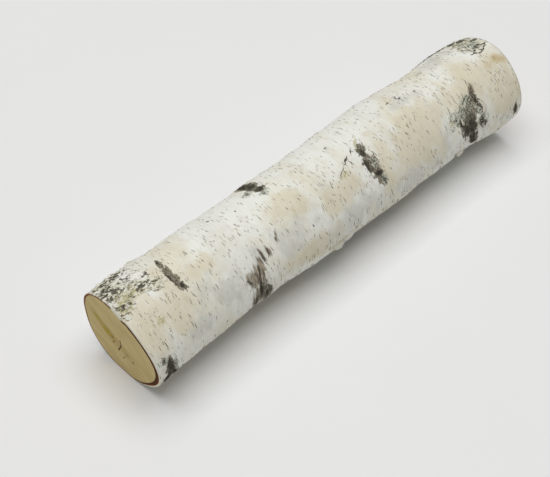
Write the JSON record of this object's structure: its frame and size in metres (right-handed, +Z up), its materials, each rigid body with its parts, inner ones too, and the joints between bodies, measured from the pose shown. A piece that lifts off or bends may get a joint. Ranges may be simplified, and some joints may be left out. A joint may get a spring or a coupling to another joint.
{
  "type": "birch log",
  "caption": "Short sawn birch log with white papery bark, dark branch scars and flat sawn ends, lying on its side; for a fireplace, a wood stack or a display.",
  "frame": {"origin": "centre of the log's box, at the height of the flats it rests on", "axes": "+X along the log from its butt end to its top end, +Y towards the back, +Z up"},
  "size_m": [0.451, 0.0978, 0.0904],
  "materials": {
    "bark": "matt white papery birch bark with short dark cross-wise pores and dark corky scars; tan sawn wood on the ends"
  },
  "bodies": {
    "root": {"birch_log": "bark"}
  },
  "joints": []
}
